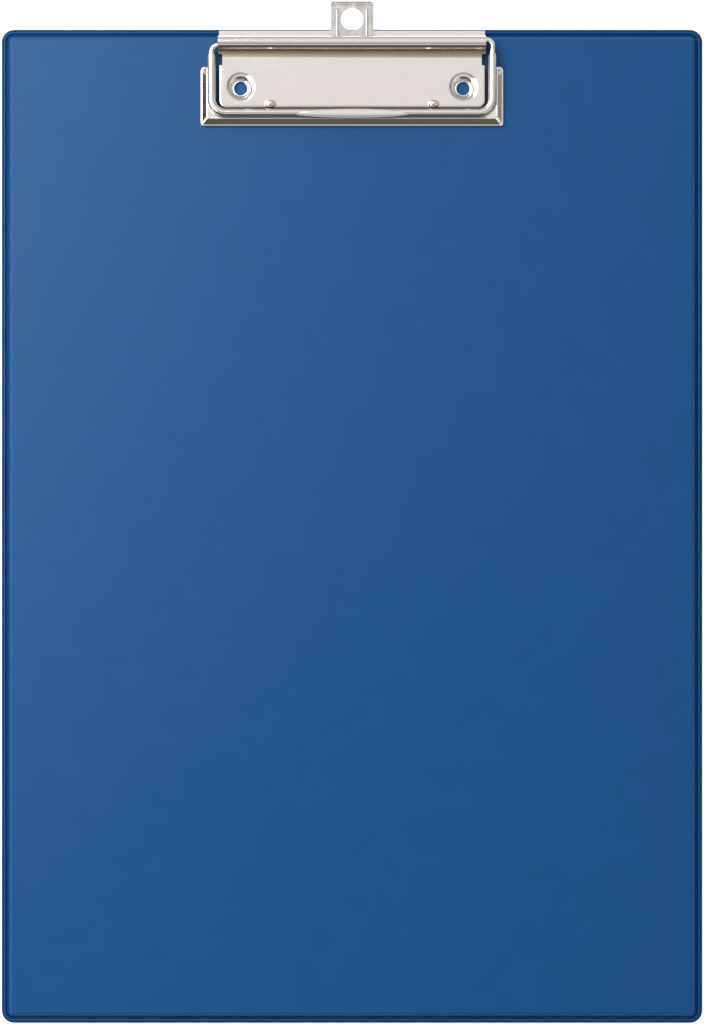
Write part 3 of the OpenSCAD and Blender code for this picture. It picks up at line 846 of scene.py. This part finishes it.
class CLIPBOARD_OT_jaw(bpy.types.Operator):
    """Models the jaw: bevelled and ridged skirt, web, rolled bead and finger lip"""
    bl_idname = "clipboard.add_jaw"
    bl_label = "Jaw"

    # The skirt's upper side in section: distance in from the outer edge and height above the face, in mm
    SKIRT = [
        (0.00, 0.66), (0.05, 0.72), (0.12, 0.75), (0.40, 0.78), (0.48, 0.82), (0.56, 0.89), (1.80, 1.92),
        (1.88, 1.99), (1.98, 2.05), (2.08, 2.08), (2.18, 2.07), (2.28, 2.04), (2.40, 2.01), (2.54, 2.00),
        (2.95, 2.00),
    ]
    CORNER = 4.5 * MM
    ARM_SHORT = 7 * MM                          # from the hinge's line to the skirt's rear end
    FRONT_BEVEL, REAR_BEVEL = 0.75 * MM, 1.0 * MM
    LIP_HALF = (18.5 * MM, 1.65 * MM, 0.62 * MM)

    def execute(self, context):
        thickness = clip_settings().jaw_thickness
        half_w, front_y, rear_y = JAW_HIGH.x, JAW_LOW.y, HINGE.y - self.ARM_SHORT
        bead_in = 3.65 * MM
        run_y, leg_x = front_y + bead_in, half_w - bead_in
        inner = self.SKIRT[-1][0] * MM
        web_z = FACE_Z + self.SKIRT[-1][1] * MM

        # One point is drawn along the section, in the left rear corner's mitre
        jaw = start_point("clip_jaw", (-half_w, rear_y, FACE_Z + self.SKIRT[0][1] * MM))
        for (d0, h0), (d1, h1) in zip(self.SKIRT, self.SKIRT[1:]):
            step = (d1 - d0) * MM
            slide_points((step, -step, (h1 - h0) * MM))
        # Each run is drawn out and turned over to the next mitre
        mid_y = (front_y + rear_y) / 2
        end_run = 3.4 * MM

        def mitre(side, y, way):
            return pick("EDGE", lambda e: all(
                near(half_w - side * v.co.x, way * (v.co.y - y), 2e-7) for v in e.verts))

        pick("EDGE", lambda e: True)
        self.draw_run((0, 1, 1), (end_run - half_w, 0, 0))
        mitre(-1, rear_y, -1)
        self.draw_run((1, -1, 1), (0, mid_y, 0))
        self.draw_run((-1, 1, 1), (0, 0, 0))
        self.draw_run((1, -1, 1), (0, mid_y, 0))
        self.draw_run((0, 1, 1), (half_w - end_run, 0, 0))

        self.corner_webs(leg_x, run_y, half_w - inner, front_y + inner, web_z)
        for side, y, way in ((-1, rear_y, -1), (1, rear_y, -1), (-1, front_y, 1), (1, front_y, 1)):
            pick("EDGE", lambda e: all(
                near(half_w - side * v.co.x, way * (v.co.y - y), 2e-7) and half_w - side * v.co.x < 2.45 * MM
                for v in e.verts) and len(e.link_faces) == 2)
            offset = self.FRONT_BEVEL if y == front_y else self.REAR_BEVEL
            bpy.ops.mesh.bevel(offset=offset, segments=6, clamp_overlap=False)
        face_outwards(Vector((0, 0, 1)))
        leave_edit()
        apply_modifier(jaw, "SOLIDIFY", thickness=thickness, offset=-1.0)
        bead = self.bead(leg_x, run_y, thickness)
        lip = self.finger_lip(run_y)
        jaw = join_into(jaw, [bead, lip])
        finish_piece(jaw, "jaw", jaw_finish(), ["jaw_frame"], angle=35)
        return {"FINISHED"}

    def draw_run(self, scale, centre):
        """Extrudes the selected section and scales it about a point, which takes it to the next mitre."""
        bpy.ops.mesh.extrude_edges_move()
        bpy.ops.transform.resize(value=scale, center_override=centre)

    def corner_webs(self, leg_x, run_y, inner_x, inner_y, web_z):
        """Fills the flat between the skirt's mitred inner corners and the bead's round ones."""
        arc_r = self.CORNER + (inner_x - leg_x)
        centre_x, centre_y = leg_x - self.CORNER, run_y + self.CORNER
        for side in (-1, 1):
            bpy.ops.mesh.select_all(action="SELECT")
            bpy.ops.mesh.bisect(plane_co=(side * centre_x, 0, 0), plane_no=(1, 0, 0))
        bpy.ops.mesh.select_all(action="SELECT")
        bpy.ops.mesh.bisect(plane_co=(0, centre_y, 0), plane_no=(0, 1, 0))
        for side in (-1, 1):
            add_ring(arc_r, side * centre_x, centre_y, web_z, 64)

            def on_arc(v):
                return near(v.co.z, web_z) and near(
                    math.hypot(v.co.x - side * centre_x, v.co.y - centre_y), arc_r, 2e-7)

            pick("VERT", lambda v: on_arc(v) and (
                side * v.co.x < centre_x - 2e-7 or v.co.y > centre_y + 2e-7))
            bpy.ops.mesh.delete(type="VERT")
            merge(5e-7)
            found = pick("EDGE", lambda e: all(near(v.co.z, web_z) and (on_arc(v) or (
                near(side * v.co.x, inner_x, 5e-7) and near(v.co.y, inner_y, 5e-7))) for v in e.verts))
            if found != 18:  # a quarter of the ring and the two sides of the skirt's corner
                raise RuntimeError(f"the web's corner has {found} edges")
            bpy.ops.mesh.edge_face_add()

    def bead(self, leg_x, run_y, thickness):
        """The rolled edge round the wire: up from the web, over the wire and back to the seam under it."""
        radius, roll = 1.3 * MM, 260
        corner = self.CORNER
        tip_y = HINGE.y - 2.4 * MM
        up = (0, 0, 1)
        foot = [(1.70, -0.65), (1.58, -0.64), (1.48, -0.61), (1.40, -0.54), (1.345, -0.42), (1.31, -0.22)]
        section = [(u * MM, h * MM) for u, h in foot]
        section += [(radius * math.cos(math.radians(a)), radius * math.sin(math.radians(a)))
                    for a in range(0, roll + 1, 10)]
        bead = start_point("bead", (leg_x + section[0][0], tip_y, HINGE.z + section[0][1]))
        for (u0, h0), (u1, h1) in zip(section, section[1:]):
            slide_points((u1 - u0, 0, h1 - h0))
        pick("EDGE", lambda e: True)
        slide((0, run_y + corner - tip_y, 0))
        turn(-90, (leg_x - corner, run_y + corner, HINGE.z), up, 18)
        slide((-2 * (leg_x - corner), 0, 0))
        turn(-90, (corner - leg_x, run_y + corner, HINGE.z), up, 18)
        slide((0, tip_y - run_y - corner, 0))
        merge(1e-7)
        foot_y = HINGE.y - 8 * MM
        pick("FACE", lambda f: f.calc_center_median().y > run_y + corner + 0.1 * MM)
        bpy.ops.mesh.bisect(plane_co=(0, foot_y, 0), plane_no=(0, 1, 0))
        pick("FACE", lambda f: f.calc_center_median().y > foot_y
             and abs(f.calc_center_median().x) > leg_x + radius + 0.003 * MM)
        bpy.ops.mesh.delete(type="FACE")
        # Both ends are cut to blunt points
        for side in (-1, 1):
            for way in (-1, 1):
                pick("FACE", lambda f: side * f.calc_center_median().x > leg_x - 2 * MM
                     and f.calc_center_median().y > foot_y)
                bpy.ops.mesh.bisect(
                    plane_co=(side * leg_x + way * 0.25 * MM, tip_y, 0), plane_no=(way * 0.9, 0.44, 0),
                    clear_outer=True)
        face_outwards()
        top = max(bmesh.from_edit_mesh(bead.data).faces, key=lambda f: f.calc_center_median().z)
        if top.normal.z < 0:
            bpy.ops.mesh.flip_normals()
        leave_edit()
        apply_modifier(bead, "SOLIDIFY", thickness=thickness - 0.02 * MM, offset=-1.0)
        return bead

    def finger_lip(self, run_y):
        """The lens-shaped lip over the middle of the front bead."""
        add_ball("finger_lip", (0, run_y - 0.45 * MM, HINGE.z + 1.0 * MM), self.LIP_HALF, 64, 24)
        return leave_edit()


class CLIPBOARD_OT_loop(bpy.types.Operator):
    """Models the pull-out hanging loop: sheet with a round hole, two ribs and a folded end"""
    bl_idname = "clipboard.add_loop"
    bl_label = "Hanging loop"

    RIB_HALF = (0.45 * MM, 0.5 * MM, 0.41 * MM)
    RIB_X = 4.75 * MM
    HOLE_R = 3.6 * MM

    def execute(self, context):
        thickness = 0.4 * MM
        sheet = thickness * 0.8  # a little thinner than the solid's
        half_w = 6.8 * MM
        root_half = half_w + 1 * MM
        bottom = LOOP_LOW.z
        foot_half = LOOP_HIGH.x
        foot_front = LOOP_LOW.y
        foot_rear = foot_front + 4.5 * MM
        root_y = foot_rear + 1.5 * MM
        fold_r, fold_l, corner_cut = 0.3 * MM, 0.9 * MM, 0.9 * MM
        end_y = LOOP_HIGH.y - fold_r - thickness / 2
        hole_y = LOOP_HIGH.y - 5.85 * MM
        outline = [
            (foot_half, foot_front), (foot_half, foot_rear), (root_half, foot_rear), (root_half, root_y),
            (half_w, root_y + 1 * MM), (half_w, end_y),
        ]
        points = outline + [(-x, y) for x, y in reversed(outline)]
        loop = start_point("hanging_loop_piece", (*points[0], bottom))
        for (x0, y0), (x1, y1) in zip(points, points[1:]):
            slide_points((x1 - x0, y1 - y0, 0))
        pick("VERT", lambda v: near(v.co.y, foot_front))
        bpy.ops.mesh.edge_face_add()
        add_ring(self.HOLE_R, 0, hole_y, bottom, 56)
        bpy.ops.mesh.select_all(action="SELECT")
        bpy.ops.mesh.fill(use_beauty=True)
        # The end is folded up and back over the sheet
        pick("EDGE", lambda e: all(near(v.co.y, end_y) for v in e.verts))
        turn(170, (0, end_y, bottom + fold_r), (1, 0, 0), 8)
        slide((0, -fold_l, -0.1 * MM))
        for side in (-1, 1):
            bpy.ops.mesh.select_all(action="SELECT")
            bpy.ops.mesh.bisect(
                plane_co=(side * half_w, LOOP_HIGH.y - corner_cut, bottom), plane_no=(side, 1, 0),
                clear_outer=True)
        face_outwards(Vector((0, 0, -1)))
        leave_edit()
        apply_modifier(loop, "SOLIDIFY", thickness=sheet, offset=-1.0, use_even_offset=True)
        ribs = [self.rib(side * self.RIB_X, foot_rear, LOOP_HIGH.y - 2.5 * MM, bottom + sheet)
                for side in (-1, 1)]
        loop = join_into(loop, ribs)
        finish_piece(loop, "loop", loop_finish(), ["hanging_loop"], angle=35)
        return {"FINISHED"}

    def rib(self, x, start_y, end_y, level):
        """A stiffening rib with rounded ends."""
        middle_y = (start_y + end_y) / 2
        add_ball("rib", (x, middle_y, level), self.RIB_HALF, 24, 12)
        half = (end_y - start_y) / 2 - self.RIB_HALF[1]
        for way in (-1, 1):
            pick("VERT", lambda v: way * (v.co.y - middle_y) > 1e-6)
            bpy.ops.transform.translate(value=(0, way * half, 0))
        return leave_edit()


# --- Studio --------------------------------------------------------------------------------

class CLIPBOARD_OT_stage(bpy.types.Operator):
    """Sets the camera, the table and the soft studio light"""
    bl_idname = "clipboard.add_stage"
    bl_label = "Studio"

    # Each lamp's place and size
    KEY = ((-0.49, 0.22, 0.58), (1.05, 0.50))
    FILL = ((0.72, -0.45, 0.42), (0.7, 0.5))
    FILL_SHARE = 0.06    # the fill lamp's power, as a share of the key lamp's
    TABLE = (0.82, 0.82, 0.82, 1)
    TABLE_GLOW = 0.56    # what makes the table show as white
    WHITE = (1, 1, 1, 1)
    # The room's colours from low down to high up, where up leans towards the clip's end
    ROOM = [
        (0.00, (0.020, 0.016, 0.014, 1)), (0.34, (0.13, 0.11, 0.095, 1)), (0.395, (0.15, 0.125, 0.11, 1)),
        (0.425, (0.028, 0.022, 0.018, 1)), (0.455, (0.028, 0.022, 0.018, 1)), (0.51, (0.12, 0.10, 0.085, 1)),
        (0.55, (0.55, 0.51, 0.48, 1)), (0.58, (0.80, 0.78, 0.75, 1)), (0.68, (0.78, 0.78, 0.77, 1)),
        (0.75, (0.30, 0.30, 0.30, 1)), (0.82, (0.38, 0.38, 0.38, 1)), (0.89, (0.78, 0.78, 0.78, 1)),
        (0.955, (0.95, 0.95, 0.95, 1)), (1.00, (1.0, 1.0, 1.0, 1)),
    ]
    ROOM_UP = (0.03, 0.55, 1.0)

    def execute(self, context):
        settings = studio_settings()
        scene = bpy.context.scene
        scene.view_settings.view_transform = "Standard"
        clear_selection()
        bpy.ops.object.camera_add(
            location=(0, settings.camera_y, settings.camera_height), rotation=(0, 0, 0))
        camera = bpy.context.object
        camera.name = "photo_camera"
        camera.data.sensor_width = 36
        camera.data.angle = settings.field
        scene.camera = camera

        clear_selection()
        bpy.ops.mesh.primitive_plane_add(size=6, location=(0, 0, -0.0002))
        floor = bpy.context.object
        floor.name = "table"
        floor.data.materials.append(self.table_material())

        self.lamp("key", *self.KEY, settings.key_power)
        self.lamp("fill", *self.FILL, settings.key_power * self.FILL_SHARE)
        self.world(settings.room_level)
        return {"FINISHED"}

    def lamp(self, name, place, size, power):
        """A rectangular soft light that faces the board."""
        bpy.ops.object.light_add(type="AREA", location=place)
        lamp = bpy.context.object
        lamp.name = name
        lamp.data.shape = "RECTANGLE"
        lamp.data.size, lamp.data.size_y = size
        lamp.data.energy = power
        lamp.rotation_euler = (-Vector(place)).to_track_quat("-Z", "Y").to_euler()

    def table_material(self):
        """White paper: it shows as white to the camera and in reflections, and keeps the shadow."""
        material, tree, shader = new_material("white_table")
        shader.inputs["Base Color"].default_value = self.TABLE
        shader.inputs["Roughness"].default_value = 0.9
        rays = add_node(tree, "ShaderNodeLightPath").outputs
        mirrored = reckon(tree, "MAXIMUM", rays["Is Glossy Ray"], rays["Is Transmission Ray"])
        seen = reckon(tree, "MAXIMUM", rays["Is Camera Ray"], mirrored)
        shader.inputs["Emission Color"].default_value = self.WHITE
        tree.links.new(reckon(tree, "MULTIPLY", seen, self.TABLE_GLOW), shader.inputs["Emission Strength"])
        return material

    def world(self, level):
        """A room that is bright overhead and at the clip's end, dark low down, and white to the camera."""
        world = bpy.data.worlds.new("studio")
        bpy.context.scene.world = world
        world.use_nodes = True
        tree = world.node_tree
        background = tree.nodes["Background"]
        slant = add_node(tree, "ShaderNodeVectorMath", operation="DOT_PRODUCT")
        tree.links.new(add_node(tree, "ShaderNodeTexCoord").outputs["Generated"], slant.inputs[0])
        slant.inputs[1].default_value = self.ROOM_UP
        height = reckon(tree, "MULTIPLY_ADD", slant.outputs["Value"], 0.5, 0.4)
        camera_ray = add_node(tree, "ShaderNodeLightPath").outputs["Is Camera Ray"]
        seen = mix(tree, camera_ray, ramp(tree, height, self.ROOM), self.WHITE)
        tree.links.new(seen, background.inputs["Color"])
        background.inputs["Strength"].default_value = level


# --- Panel and running order ---------------------------------------------------------------

STEPS = (
    CLIPBOARD_OT_stage, CLIPBOARD_OT_films, CLIPBOARD_OT_core, CLIPBOARD_OT_base_plate, CLIPBOARD_OT_rivets,
    CLIPBOARD_OT_wire, CLIPBOARD_OT_jaw, CLIPBOARD_OT_loop,
)


class CLIPBOARD_PT_tools(bpy.types.Panel):
    """Lists the clipboard's pieces and settings"""
    bl_label = "Clipboard"
    bl_idname = "CLIPBOARD_PT_tools"
    bl_space_type = "VIEW_3D"
    bl_region_type = "UI"
    bl_category = "Clipboard"

    def draw(self, context):
        for group in ("clipboard_film", "clipboard_clip", "clipboard_studio"):
            settings = getattr(context.scene, group)
            box = self.layout.box()
            for name in settings.__annotations__:
                box.prop(settings, name)
        for step in STEPS:
            self.layout.operator(step.bl_idname)


CLASSES = (FilmSettings, ClipSettings, StudioSettings) + STEPS + (CLIPBOARD_PT_tools,)


def register():
    for each in CLASSES:
        bpy.utils.register_class(each)
    bpy.types.Scene.clipboard_film = bpy.props.PointerProperty(type=FilmSettings)
    bpy.types.Scene.clipboard_clip = bpy.props.PointerProperty(type=ClipSettings)
    bpy.types.Scene.clipboard_studio = bpy.props.PointerProperty(type=StudioSettings)


def unregister():
    del bpy.types.Scene.clipboard_studio
    del bpy.types.Scene.clipboard_clip
    del bpy.types.Scene.clipboard_film
    for each in reversed(CLASSES):
        bpy.utils.unregister_class(each)


def main():
    """Makes everything in order."""
    register()
    for step in STEPS:
        group, name = step.bl_idname.split(".")
        getattr(getattr(bpy.ops, group), name)()
    clear_selection()


if __name__ == "__main__":
    main()
